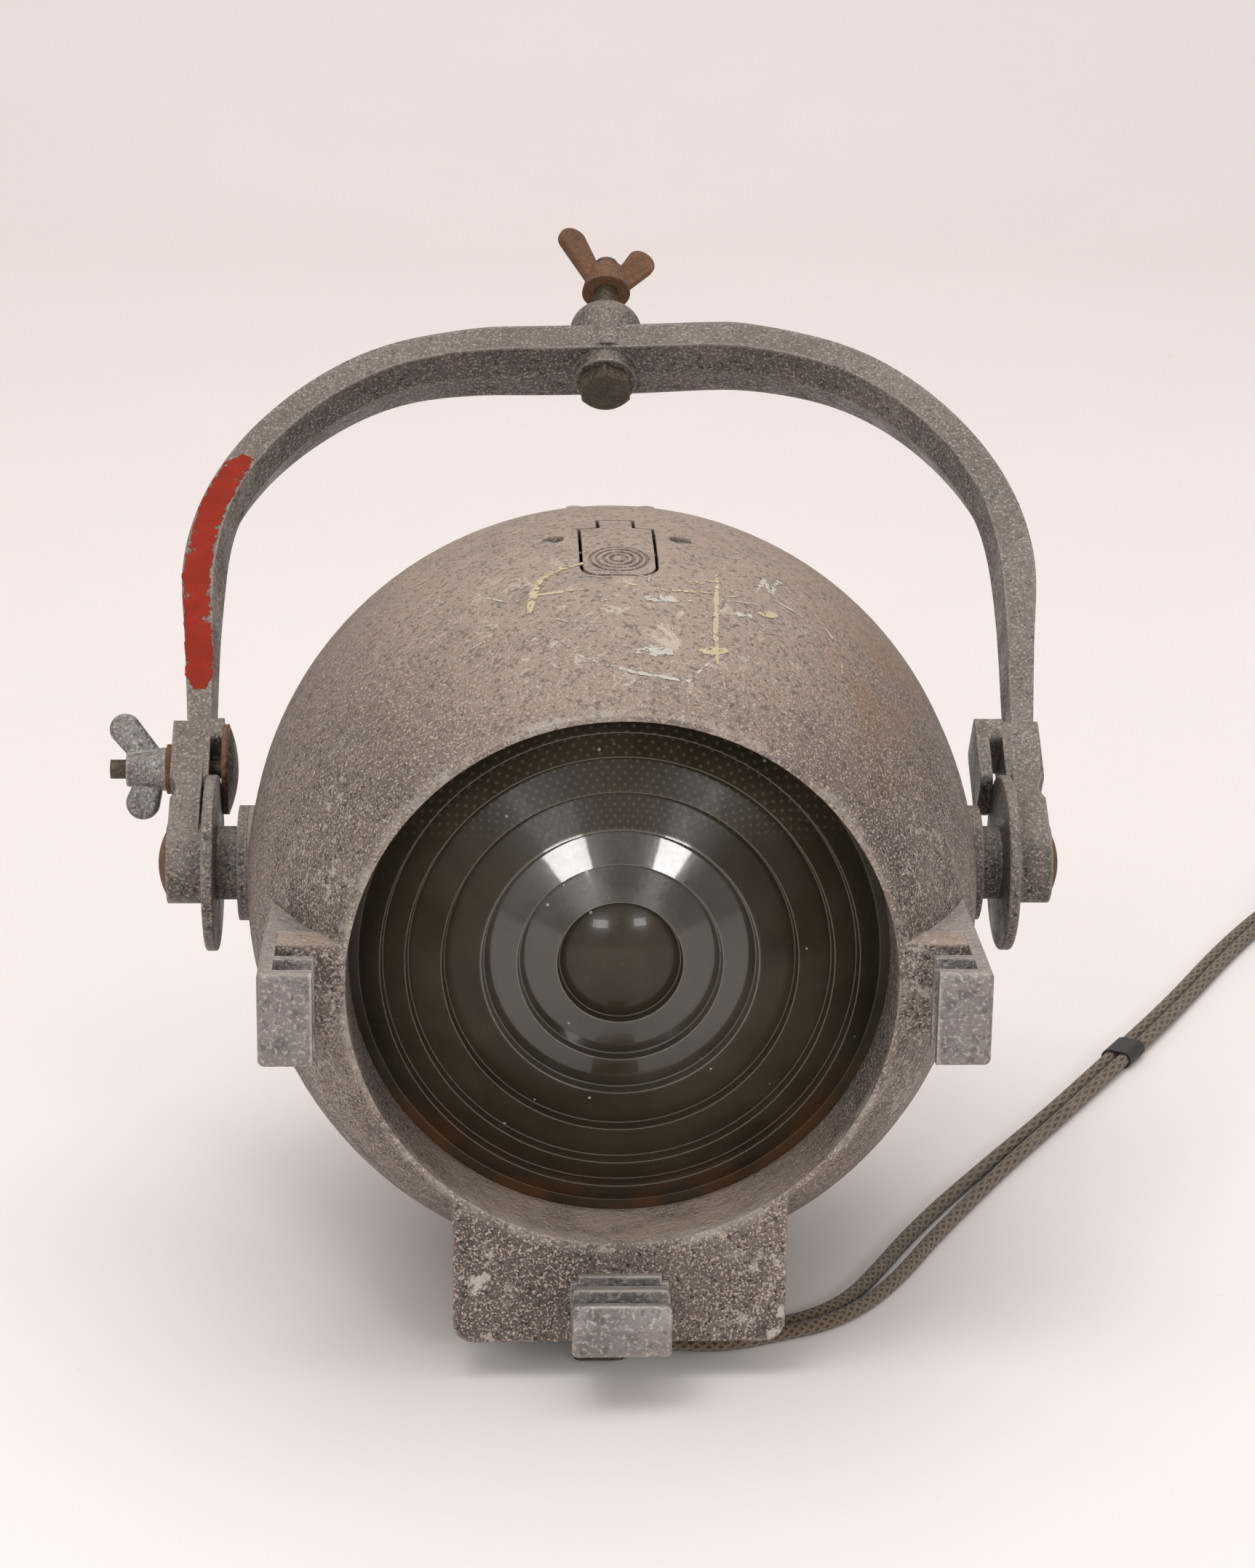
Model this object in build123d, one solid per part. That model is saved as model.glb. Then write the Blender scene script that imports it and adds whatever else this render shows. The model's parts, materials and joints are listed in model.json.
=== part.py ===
from build123d import *
import os
from math import cos, pi, radians, sin, sqrt, tan

os.makedirs("parts", exist_ok=True)

# A small cast theatre spotlight with a stepped lens, a ball-shaped body on a shallow base box, and a
# tilting yoke that lies back. Millimetres. X to the right, Y to the back, Z up. The origin is on the
# standing face, straight below the tilt axis. The lens looks along -Y.

# ---- driving dimensions ----
PIVOT_Z = 115.5            # height of the tilt axis
AXIS_Z = 115.1             # height of the optical axis
BALL_R = 106.0             # outer radius of the ball
NOSE = 137.0               # forward semi-axis of the ball, which is drawn out towards the lens
GIRTH = 12.0               # straight girth of the ball before the nose starts
WALL = 3.5                 # casting wall
FRONT_Y = -107.8           # plane of the front rim
SEAM_Y = 26.0              # plane where the rear cover meets the front casting
SEAM_GAP = 0.3
LEDGE_Z = 30.0             # the rear cover stands on the casting at this height

BORE_R = 74.3              # opening in front of the lens
LENS_R = 76.0
LENS_BACK = 77.5           # forward distances from the tilt axis
LENS_RIM = 83.5
SEAT = 84.0
BARREL_R = 79.8
BARREL_BACK = 70.0
LENS_STEPS = [16.7, 27.6, 37.4, 48.2, 58.1, 65.0, 70.8]
STEP_RISE = 3.2

BOX_X = 45.8               # half width of the base box
BOX_REAR = 48.0
BOX_Z = 11.5               # underside of the base box
BOX_TOP = 60.0
BOX_FILLET = 6.0

RUNNER_IN = 82.0           # inner and outer faces of a side runner
RUNNER_OUT = 96.5
RUNNER_FRONT = -131.0
RUNNER_LOW = 101.4         # underside and top of a side runner
RUNNER_HIGH = 127.4
RUNNER_DEPTH = 10.5        # depth of its grooves
GROOVES = [(-116.0, FRONT_Y), (-127.0, -119.0)]
LOWER_TOP = 32.0
LOWER_X = 13.5

LEAN = 54.0                # the yoke leans this far back from the vertical
DISC_R = 26.0
DISC_IN = 115.55
DISC_OUT = 118.95
JOURNAL_R = 6.0
ARM_IN = 119.2             # inner face of the yoke's pivot boss
ARM_OUT = 130.3
BLOCK_OUT = 130.6          # outer face of the clamp block
LOCK_R = 34.8              # the tilt-lock bolt's distance from the tilt axis
CROWN_OUT = 210.7          # the arch where it meets the middle plane
CROWN_SLOPE = 0.035        # the bent crown is higher on its right
BOSS_TOP = 226.7
SEAT_R = 195.6             # the hanging bolt's head bears here
HANGER_R = 3.95
HANGER_END = 250.0
NUT_R = 236.6              # the hanging wing nut stands here
BEND = 1.5                 # the crown is bent this far to the right

HINGE_Y = 71.8             # rear cover hinge
HINGE_Z = 30.2
KNUCKLE_R = 4.2
HINGE_PIN_R = 2.0

LATCH_Y = -25.0            # latch pivot
LATCH_Z = 213.0
LATCH_X = 10.0             # half width of the thumb pad
STEM_X = 4.6
RIVET_X = 18.0

RAIL_X = 30.0
RAIL_Z = 24.0
RAIL_R = 3.0
LAMP_Y = -32.0
STUD_Y = -38.0
PAN_X = 28.0               # foot pan and skids
PAN_FRONT = -8.0
PAN_REAR = 40.0
SKID_FRONT = -80.0
PLATE_TOP = 14.5

TAIL_R = 2.2
COIL_CENTRE = (301.8, 299.7)
COIL_IN = 20.4
COIL_OUT = 29.6
COIL_TOP = 13.4
PLUG_TURN = radians(-120.7)
PLUG_HEADING = (cos(PLUG_TURN), sin(PLUG_TURN))   # the way the plug points

BASE = (Align.CENTER, Align.CENTER, Align.MIN)
CORNER = (Align.MIN, Align.MIN, Align.MIN)
FAR = 260.0                # beyond every part of the body
YOKE_PLANE = Plane(
    origin=(0, 0, PIVOT_Z),
    x_dir=(1, 0, 0),
    z_dir=(0, -cos(radians(LEAN)), sin(radians(LEAN))),
)


HANGER = Pos(-2.65, 0, 0) * Rot(0, 0, -BEND)   # the hanging bolt's axis in the yoke plane


# ---- building blocks ----
def along_x(radius, x0, x1, y, z):
    """A cylinder from x0 to x1."""
    return Pos(min(x0, x1), y, z) * Rot(0, 90, 0) * Cylinder(radius, abs(x1 - x0), align=BASE)


def along_y(radius, y0, y1, x, z):
    """A cylinder from y0 to y1."""
    return Pos(x, min(y0, y1), z) * Rot(-90, 0, 0) * Cylinder(radius, abs(y1 - y0), align=BASE)


def along_z(radius, z0, z1, x, y):
    """A cylinder from z0 to z1."""
    return Pos(x, y, z0) * Cylinder(radius, z1 - z0, align=BASE)


def block(x0, x1, y0, y1, z0, z1):
    """A box between two corners."""
    return Pos(x0, y0, z0) * Box(x1 - x0, y1 - y0, z1 - z0, align=CORNER)


def both(shape):
    """The shape and its mirror image across the middle plane."""
    return shape + mirror(shape, Plane.YZ)


def hexagon(across_flats, height):
    """A hexagonal prism standing on its base."""
    return extrude(RegularPolygon(across_flats / 2 / cos(pi / 6), 6), height)


def dome(base_radius, height):
    """A shallow round head standing on its flat side."""
    radius = (base_radius**2 + height**2) / (2 * height)
    ball = Pos(0, 0, height - radius) * Sphere(radius)
    return ball & Cylinder(base_radius, height, align=BASE)


def turned(face):
    """A face drawn as (forward distance, radius), turned about the optical axis."""
    return Pos(0, 0, AXIS_Z) * Rot(0, 0, -90) * revolve(face, Axis.X)


def egg(inset):
    """The ball's outline, inset by a wall: a drawn-out nose and a round tail."""
    radius = BALL_R - inset
    nose = EllipticalCenterArc((GIRTH, 0), NOSE - inset, radius, start_angle=0, arc_size=90)
    girth = Line((0, radius), (GIRTH, radius))
    tail = CenterArc((0, 0), radius, 90, 90)
    floor = Line((-radius, 0), (GIRTH + NOSE - inset, 0))
    return turned(make_face([nose, girth, tail, floor]))


def skin(outer, inner):
    """The space between two insets of the ball."""
    return egg(outer) - egg(inner)


def radial(angle, sideways=0.0):
    """A frame at the ball's centre whose Z points up and back by angle, and sideways."""
    return Pos(0, 0, AXIS_Z) * Rot(-angle, 0, 0) * Rot(0, sideways, 0)


def save(node, *shapes):
    """Writes one node with every solid of the shapes."""
    solids = [solid for shape in shapes for solid in shape.solids()]
    export_step(solids[0] if len(solids) == 1 else Compound(solids), f"parts/{node}.step")


# ---- body castings ----
def base_box():
    """The outside of the base box, with its rounded corners."""
    box = block(-BOX_X, BOX_X, FRONT_Y, BOX_REAR, BOX_Z, BOX_TOP)
    low = box.edges().filter_by(Axis.Y).group_by(Axis.Z)[0]
    rear = box.edges().filter_by(Axis.Z).group_by(Axis.Y)[-1]
    return fillet(low + rear, BOX_FILLET)


def side_runner():
    """The right-hand colour-frame runner: head, ribs and the root that runs back to the ball."""
    lug = block(RUNNER_IN - 2, RUNNER_OUT, RUNNER_FRONT, -56, RUNNER_LOW, RUNNER_HIGH)
    lug = fillet(lug.faces().sort_by(Axis.Y)[0].edges(), 1.8)
    lug = fillet(lug.edges().filter_by(Axis.Y).group_by(Axis.X)[-1], 1.6)
    for y0, y1 in GROOVES:
        lug -= block(60, RUNNER_IN + RUNNER_DEPTH, y0, y1, RUNNER_LOW - 1, RUNNER_HIGH + 1)
    lug -= block(60, RUNNER_IN, RUNNER_FRONT - 1, FRONT_Y, RUNNER_LOW - 1, RUNNER_HIGH + 1)
    return lug - egg(0) - runner_pad()


def runner_pad():
    """The flat pad between the lens barrel and the right-hand runner."""
    return block(70, RUNNER_IN + RUNNER_DEPTH, FRONT_Y, -97, RUNNER_LOW, RUNNER_HIGH)


def latch_window():
    """The slot round the thumb pad and its stem."""
    gap = 0.9
    front = -54.4
    rear = LATCH_Y + 8.0
    pad = Rectangle(2 * (LATCH_X + gap), rear - front)
    pad = fillet(pad.vertices().group_by(Axis.Y)[0], 6.5)
    window = Pos(0, (front + rear) / 2, 180) * extrude(pad, FAR - 180)
    return window + block(-STEM_X - gap, STEM_X + gap, rear - 1, -8.0, 180, FAR)


def front_casting():
    """The front of the ball, the lens barrel, the base box and the pads of the side runners."""
    ball = egg(0) - both(along_x(25.0, 106.2, 120, 0, PIVOT_Z))
    shell = ball + base_box() + both(along_x(17.0, 98, 106.2, 0, PIVOT_Z))
    shell &= block(-FAR, FAR, FRONT_Y, SEAM_Y, BOX_Z, FAR) + block(-FAR, FAR, SEAM_Y - 1, FAR, BOX_Z, LEDGE_Z)
    outside = shell + both(runner_pad())
    inside = egg(WALL) & block(-FAR, FAR, -99.5, FAR, 0, FAR)
    inside += block(-BOX_X + WALL, BOX_X - WALL, FRONT_Y + WALL, BOX_REAR - WALL, 17.5, BOX_TOP)
    inside -= along_y(BARREL_R, FRONT_Y - 9, -BARREL_BACK, 0, AXIS_Z)
    casting = outside - inside
    casting -= block(-38, 38, -99, 41, BOX_Z - 1, 20)
    casting -= along_y(BORE_R, FRONT_Y - 1, -SEAT + 1, 0, AXIS_Z)
    casting -= along_y(LENS_R + 0.6, -SEAT, -BARREL_BACK + 1, 0, AXIS_Z)
    casting -= along_y(LENS_R + 1.6, -LENS_BACK - 0.1, -75.2, 0, AXIS_Z)
    casting -= latch_window()
    casting += both(along_x(12, 96, 104, 0, PIVOT_Z))
    casting -= both(along_x(5.0, 90, 110, 0, PIVOT_Z))
    rivet_bosses = both(along_z(4.0, 209.9, 217, RIVET_X, LATCH_Y)) & egg(1)
    casting += rivet_bosses
    casting -= both(along_z(2.0, 200, FAR, RIVET_X, LATCH_Y) + along_z(3.2, 217.3, FAR, RIVET_X, LATCH_Y))
    lip = skin(WALL - 0.5, 5.9) & block(-FAR, FAR, SEAM_Y - 6, SEAM_Y, 118, FAR)
    lip += skin(WALL + 0.4, 5.9) & block(-FAR, FAR, SEAM_Y - 0.5, SEAM_Y + 4.5, 118, FAR)
    casting += lip - block(-13.5, 13.5, 0, 60, 150, FAR)
    for y0, y1 in ((-99.5, -90), (32, 41.5)):
        casting += both(block(29.5, 39, y0, y1, PLATE_TOP, 19.5))
    casting -= base_screw_holes(1.9)
    knuckle = along_x(KNUCKLE_R, 10, 21, HINGE_Y, HINGE_Z) + block(10, 21, 57, HINGE_Y, 26, 29.8)
    casting += both(knuckle) - egg(WALL)
    casting -= along_x(HINGE_PIN_R, -40, 40, HINGE_Y, HINGE_Z)
    casting -= both(along_y(1.2, FRONT_Y - 1, FRONT_Y + 9, 8, 19.8))
    return casting


def rear_cover():
    """The back of the ball, with louvre slots and its three hinge knuckles."""
    cover = skin(0, WALL) & block(-FAR, FAR, SEAM_Y + SEAM_GAP, FAR, LEDGE_Z + SEAM_GAP, FAR)
    cover -= both(along_x(KNUCKLE_R + 0.5, 9.8, 21.3, HINGE_Y, HINGE_Z))
    middle = along_x(KNUCKLE_R, -9.7, 9.7, HINGE_Y, HINGE_Z)
    middle += block(-9.7, 9.7, 62, HINGE_Y, HINGE_Z + 0.2, 34.3)
    outer = along_x(KNUCKLE_R, 21.3, 30, HINGE_Y, HINGE_Z)
    outer += block(21.3, 30, 58, HINGE_Y, HINGE_Z + 0.2, 34.3)
    cover += middle + both(outer)
    cover -= along_x(HINGE_PIN_R + 0.05, -40, 40, HINGE_Y, HINGE_Z)
    for angle in (39, 47, 55):
        cover -= radial(angle) * Pos(0, 0, 90) * extrude(SlotOverall(56, 4.2), 25)
    for side in (-1, 1):
        cover -= radial(47, side * 18.2) * Pos(0, 0, 90) * Cylinder(1.8, 30, align=BASE)
    cover -= both(along_z(1.5, 200, FAR, 10.5, 30.3))
    cover -= both(along_z(2.6, 215.5, FAR, 10.5, 30.3))
    return cover


def baffle():
    """A curved plate behind the louvres that stops stray light."""
    plate = skin(8.0, 9.2) & radial(47) * Pos(0, 0, 95) * Box(76, 46, 40)
    for side in (-1, 1):
        plate -= radial(47, side * 18.2) * Pos(0, 0, 80) * Cylinder(1.8, 30, align=BASE)
    return plate


def baffle_rivets():
    """Two rivets with spacer collars between the baffle and the cover."""
    inner = BALL_R - 10.8
    rivet = Pos(0, 0, inner) * Cylinder(1.8, 10.8, align=BASE)
    rivet += Pos(0, 0, BALL_R - 7.85) * Cylinder(3.0, 4.2, align=BASE)
    rivet += Pos(0, 0, inner) * Cylinder(3.0, 1.4, align=BASE)
    rivet += Pos(0, 0, BALL_R) * dome(3.4, 1.3)
    return [radial(47, side * 18.2) * rivet for side in (-1, 1)]


def cover_catch():
    """The bridge inside the cover that the latch hooks over."""
    bar = block(-13, 13, 27.6, 30.0, 203.5, 206.4)
    legs = both(block(8, 13, 27.6, 33, 203.5, 216)) & egg(WALL + 0.02)
    return bar + legs - both(along_z(1.5, 200, FAR, 10.5, 30.3))


def catch_rivets():
    """Two flush rivets that hold the catch to the cover."""
    rivet = along_z(1.5, 205, 215.7, 10.5, 30.3) + along_z(2.6, 215.5, 216.3, 10.5, 30.3)
    return both(rivet)


def hinge_pin():
    """The cover's hinge pin, peened at both ends."""
    ends = both(along_x(3.0, 30.2, 31.6, HINGE_Y, HINGE_Z))
    return along_x(HINGE_PIN_R, -31, 31, HINGE_Y, HINGE_Z) + ends


# ---- latch ----
def latch_tongue():
    """The thumb pad with its rings, the stem that runs back under the casting, and the hook."""
    rear = LATCH_Y + 7.2
    plan = Rectangle(2 * LATCH_X, rear + 53.5)
    plan = fillet(plan.vertices().group_by(Axis.Y)[0], 5.6)
    prism = Pos(0, (rear - 53.5) / 2, 180) * extrude(plan, FAR - 180)
    pad = skin(0, 3) & prism
    for radius in (2.6, 4.6, 6.6, 8.4):
        ring = along_z(radius, 180, FAR, 0, -43.5) - along_z(radius - 0.8, 180, FAR, 0, -43.5)
        pad -= ring - egg(0.5)
    stem = skin(0, 3) & block(-STEM_X, STEM_X, rear - 1, -8.8, 180, FAR)
    stem += skin(0, 9.5) & block(-STEM_X, STEM_X, -13.5, -9.2, 180, FAR)
    stem += skin(7, 9.5) & block(-STEM_X, STEM_X, -13.5, 33, 180, FAR)
    hook = block(-STEM_X, STEM_X, 30.3, 33, 203.9, 207.5)
    lug = block(-5, 5, LATCH_Y - 3.5, LATCH_Y + 3.5, 211, 218) & egg(2)
    return pad + stem + hook + lug - along_x(1.55, -9, 9, LATCH_Y, LATCH_Z)


def latch_bridge():
    """The strap under the casting that carries the latch pivot."""
    strap = block(-23, 23, LATCH_Y - 5, LATCH_Y + 5, 208.4, 209.9)
    ears = both(block(5.6, 7.6, LATCH_Y - 4, LATCH_Y + 4, 209.9, 215.6))
    holes = both(along_z(2.0, 200, 220, RIVET_X, LATCH_Y))
    return strap + ears - holes - along_x(1.5, -9, 9, LATCH_Y, LATCH_Z)


def latch_rivets():
    """The two flush rivets that hold the strap, one each side of the thumb pad."""
    rivet = along_z(2.0, 207, 217.5, RIVET_X, LATCH_Y)
    rivet += along_z(3.2, 206.9, 208.4, RIVET_X, LATCH_Y)
    rivet += along_z(3.2, 217.3, 218.1, RIVET_X, LATCH_Y)
    return both(rivet)


def latch_spring():
    """The leaf spring that lifts the thumb pad."""
    leaf = Polyline((-21, 209.95), (-30, 209.95), (-50, 211.35), (-50, 211.85), (-30, 210.45), (-21, 210.45),
                    close=True)
    return extrude(Plane.YZ.offset(-4) * make_face(leaf), 8)


# ---- lens ----
def lens():
    """A stepped lens: a domed centre, rings that fall outwards, a flat rim and a flat back."""
    valley = LENS_RIM + 0.6
    points = [(valley, LENS_STEPS[0])]
    for number, (inner, outer) in enumerate(zip(LENS_STEPS, LENS_STEPS[1:])):
        rise = STEP_RISE + 0.2 * number
        points += [(valley + rise, inner + 0.6), (valley, outer)]
    points += [(LENS_RIM, LENS_STEPS[-1] + 0.8), (LENS_RIM, LENS_R), (LENS_BACK, LENS_R), (LENS_BACK, 0)]
    bulge = ThreePointArc((valley + 4.4, 0), (valley + 3.35, 8.4), (valley, LENS_STEPS[0]))
    rest = Polyline(*points, (valley + 4.4, 0))
    return turned(make_face([bulge, *rest.edges()]))


def lens_gasket():
    """A thin fibre ring between the lens and its seat."""
    return turned(Pos((LENS_RIM + SEAT) / 2, 75.5) * Rectangle(SEAT - LENS_RIM, 2.0))


def lens_spring():
    """An open wire ring that snaps into the groove behind the lens."""
    ring = turned(Pos(76.35, LENS_R + 0.3) * Circle(1.0))
    return ring - block(-7, 7, -80, -70, AXIS_Z, FAR)


# ---- runners ----
def lower_runner():
    """The separate runner on the front of the base box, grooves opening upwards."""
    z0 = LOWER_TOP - RUNNER_DEPTH - 4.0
    runner = block(-LOWER_X, LOWER_X, RUNNER_FRONT, FRONT_Y - 0.05, z0, LOWER_TOP)
    runner = fillet(runner.edges().filter_by(Axis.Y), 1.6)
    runner = fillet(runner.faces().sort_by(Axis.Y)[0].edges(), 1.2)
    bevel = Plane.YZ.offset(-LOWER_X - 1) * make_face(
        Polyline((RUNNER_FRONT - 1, LOWER_TOP - 6.5), (RUNNER_FRONT, LOWER_TOP - 6.5),
                 (RUNNER_FRONT + 2.2, LOWER_TOP + 1), (RUNNER_FRONT - 1, LOWER_TOP + 1), close=True)
    )
    runner -= extrude(bevel, 2 * LOWER_X + 2)
    (first, back), (second, rib) = GROOVES
    floor = LOWER_TOP - RUNNER_DEPTH
    runner -= block(-20, 20, first, back - 2.1, floor, 50)
    runner -= block(-20, 20, second, rib, floor, 50)
    runner -= both(block(LOWER_X - 2, 20, FRONT_Y - 2.1, FRONT_Y + 1, LOWER_TOP - 2, 50))
    return runner - both(along_y(1.2, FRONT_Y - 9, FRONT_Y + 1, 8, 19.8))


def lower_runner_screws():
    """Two screws through the front wall from inside."""
    screw = along_y(1.2, FRONT_Y - 9, FRONT_Y + WALL, 8, 19.8)
    return both(screw + along_y(2.2, FRONT_Y + WALL, FRONT_Y + WALL + 1.5, 8, 19.8))


# ---- tilt gear ----
def trunnion():
    """The right-hand trunnion: spigot, flange, round neck and the journal that the yoke turns on."""
    stub = along_x(5.0, 87, 106.2, 0, PIVOT_Z)
    stub += along_x(17.0, 106.2, 109.2, 0, PIVOT_Z)
    stub += along_x(10.85, 109.2, DISC_IN, 0, PIVOT_Z)
    stub += along_x(JOURNAL_R, DISC_IN, ARM_OUT + 0.05, 0, PIVOT_Z)
    return stub - along_x(2.5, 122, 140, 0, PIVOT_Z)


def tilt_disc():
    """The right-hand tilt disc, which the yoke's clamp grips."""
    disc = along_x(DISC_R, DISC_IN, DISC_OUT, 0, PIVOT_Z)
    disc = fillet(disc.edges().filter_by(GeomType.CIRCLE), 0.7)
    return disc - along_x(JOURNAL_R, 110, 125, 0, PIVOT_Z)


def pivot_rivet():
    """The right-hand domed head that keeps the yoke on its journal."""
    head = Pos(ARM_OUT + 0.15, 0, PIVOT_Z) * Rot(0, 90, 0) * dome(10.0, 2.7)
    return head + along_x(2.5, 122, ARM_OUT + 0.3, 0, PIVOT_Z)


def trunnion_nut():
    """The right-hand nut inside the casting."""
    nut = Pos(88, 0, PIVOT_Z) * Rot(0, 90, 0) * hexagon(16, 8)
    return nut - along_x(5.0, 80, 100, 0, PIVOT_Z)


# ---- yoke, drawn flat: x across, y outwards from the tilt axis, z towards the front ----
def inset(points, distances):
    """The points moved inwards, square to the line through them."""
    moved = []
    last = len(points) - 1
    for number, ((x, y), distance) in enumerate(zip(points, distances)):
        before = points[max(number - 1, 0)]
        after = points[min(number + 1, last)]
        along = (Vector(*after) - Vector(*before)).normalized()
        if number == 0:
            along = Vector(0, 1)
        if number == last:
            along = Vector(-1, 0)
        moved.append((x - along.Y * distance, y + along.X * distance))
    return moved


def arch_face(outer, inner, slope):
    """One half of an arch between two edges, each a straight arm and a curve to the crown."""
    edges = []
    for points in (outer, inner):
        arm = Line(points[0], points[1])
        curve = Spline(*points[1:], tangents=[arm % 1, (-1, slope)])
        edges += [arm, curve]
    edges += [Line(outer[0], inner[0]), Line(outer[-1], inner[-1])]
    return make_face(edges)


def half_arch(outer, strips, crests, cuts, slope):
    """One half: a bar whose inner side slopes both ways from the parting line, more at the back."""
    core = inset(outer, [0.62 * width for width in strips])
    middle = inset(outer, [width / 2 for width in strips])
    crest = inset(outer, [width + rise for width, rise in zip(strips, crests)])
    front = inset(outer, strips)
    back = inset(outer, [width - cut for width, cut in zip(strips, cuts)])
    half = extrude(arch_face(outer, core, slope), 11.2, both=True)
    ridge = arch_face(middle, crest, slope)
    half += loft([ridge, Pos(0, 0, 11.2) * arch_face(middle, front, slope)], ruled=True)
    half += loft([Pos(0, 0, -11.2) * arch_face(middle, back, slope), ridge], ruled=True)
    return half


def yoke_arch():
    """Both halves of the bent arch, less deep towards the clamps."""
    right = half_arch(
        [(129.0, 44), (132.2, 75.8), (135.4, 106), (131.4, 137.4), (121.1, 161.8), (101.5, 187.3),
         (78.4, 203.3), (54.8, 210.7), (0, CROWN_OUT)],
        [6.5, 8.0, 10.4, 10.2, 10.0, 10.1, 10.3, 10.5, 10.2],
        [1.6, 1.9, 2.2, 1.7, 1.5, 1.4, 1.3, 1.3, 1.3],
        [0, 0, 1.5, 3.2, 3.5, 3.4, 2.8, 1.8, 0], -CROWN_SLOPE,
    )
    left = half_arch(
        [(126.3, 44), (128.6, 75), (130.9, 104), (125.6, 136), (114.0, 160.3), (92.0, 186.0),
         (62.5, 203.6), (43.5, 208.3), (0, CROWN_OUT)],
        [7.0, 8.1, 9.5, 9.3, 9.2, 9.4, 9.6, 9.9, 10.2],
        [1.2, 1.9, 3.2, 1.8, 1.5, 1.4, 1.3, 1.3, 1.3],
        [0, 0, 1.0, 2.4, 2.8, 2.6, 2.0, 1.0, 0], CROWN_SLOPE,
    )
    arch = right + mirror(left, Plane.YZ)
    taper = Polyline((40, -9.4), (110, -10.4), (180, -11.2), (225, -11.2), (225, 11.2), (180, 11.2),
                     (110, 10.4), (40, 9.4), close=True)
    return arch & extrude(Plane.YZ * make_face(taper), 150, both=True)


def clamp_block():
    """The foot of the right arm: the pivot boss, the block over the disc and the web between them."""
    block_face = RectangleRounded(25, 19, 4)
    web_face = make_hull([*Circle(12).edges(), *(Pos(34, 0) * Rectangle(24, 17)).edges()])
    foot = extrude(Plane.YZ.offset(ARM_IN) * Pos(35.5, 0) * block_face, BLOCK_OUT - ARM_IN)
    foot += extrude(Plane.YZ.offset(121) * web_face, 9)
    foot += along_x(12, ARM_IN, ARM_OUT, 0, 0)
    foot -= Pos(135, 20, 0) * Cylinder(6.4, 40)
    shoulder = Pos(43.7, 0) * RectangleRounded(8.5, 19, 2)
    return foot + extrude(Plane.YZ.offset(115.4) * shoulder, 4.5)


def yoke():
    """The whole yoke casting."""
    right = clamp_block()
    lip = extrude(Plane.YZ.offset(111.4) * Pos(35.3, 0) * RectangleRounded(25.5, 19, 4), 3.8)
    bridge = extrude(Plane.YZ.offset(111.4) * Pos(43.7, 0) * RectangleRounded(8.5, 19, 2), 8)
    left = mirror(right, Plane.YZ) - along_x(3.0, -140, -110, LOCK_R, 0)
    body = yoke_arch() + right + lip + bridge + left
    boss = along_y(12.0, 202, BOSS_TOP, 0, 0)
    boss = fillet(boss.edges().group_by(Axis.Y)[-1], 8.5)
    body += HANGER * (boss + along_y(10.4, SEAT_R, 203, 0, 0))
    body -= HANGER * along_y(HANGER_R + 0.08, 180, 240, 0, 0)
    body -= along_x(JOURNAL_R + 0.06, -150, 150, 0, 0) - along_x(20, -110, 110, 0, 0)
    return body


def wing_nut(base_radius, tip_radius, height, ears, thickness, bore):
    """A wing nut standing on its base: a cone hub and two ears, each (sideways, up, radius)."""
    hub = Cone(base_radius, tip_radius, height, align=BASE)
    foot = Pos(base_radius * 0.45, height * 0.42) * Circle(height * 0.34)
    for turn, (sideways, up, radius) in zip((0, 180), ears):
        tip = Pos(sideways, up) * Circle(radius)
        wing = extrude(Plane.XZ * make_hull([*foot.edges(), *tip.edges()]), thickness / 2, both=True)
        wing = fillet(wing.edges().filter_by(GeomType.LINE, reverse=True), thickness * 0.3)
        hub += Rot(0, 0, turn) * wing
    return hub - Cylinder(bore, 80)


def lock_bolt():
    """The tilt-lock bolt with its mushroom head on the inner side."""
    bolt = along_x(2.9, -149.4, -112.0, LOCK_R, 0)
    return bolt + Pos(-113.9, LOCK_R, 0) * Rot(0, 90, 0) * dome(13.4, 2.7)


def hanging_bolt():
    """The bolt through the crown, head inwards with a corner to the front."""
    height = SEAT_R - 0.15 - 190.6
    head = hexagon(15.9, height) & chamfer(Cylinder(9.3, height, align=BASE).edges().group_by(Axis.Z)[0], 1.3)
    head = Pos(0, 190.6, 0) * Rot(-90, 0, 0) * Rot(0, 0, 26) * head
    return HANGER * (head + along_y(HANGER_R, SEAT_R - 0.2, HANGER_END, 0, 0))


# ---- base, focus carriage and lamp ----
def base_screw_holes(radius):
    """The four screw positions of the base plate."""
    holes = along_z(radius, 8, 19, 33.5, -94.5) + along_z(radius, 8, 19, 33.5, 36.5)
    return both(holes)


def base_plate():
    """The plate that closes the box, with the two skids and the foot pan that it stands on."""
    plate = block(-37.9, 37.9, -98.9, 40.9, BOX_Z, PLATE_TOP)
    plate += block(-PAN_X, PAN_X, PAN_FRONT, PAN_REAR, 0, PLATE_TOP)
    plate += both(block(PAN_X - 6, PAN_X, SKID_FRONT, PAN_FRONT, 0, PLATE_TOP))
    plate -= block(-PAN_X + 2.5, PAN_X - 2.5, PAN_FRONT + 2.5, PAN_REAR - 2.5, 2.5, PLATE_TOP + 1)
    plate -= Pos(0, STUD_Y, 0) * extrude(Rot(0, 0, 90) * SlotOverall(49, 8), 20)
    for step in range(6):
        plate -= both(along_z(2.5, 5, 20, 16, -75 + 10 * step))
    plate -= base_screw_holes(2.1)
    return plate


def base_screws():
    """Four countersunk screws, flush with the plate."""
    screws = base_screw_holes(1.9) & block(-FAR, FAR, -FAR, FAR, BOX_Z + 0.3, 19)
    return screws


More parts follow.
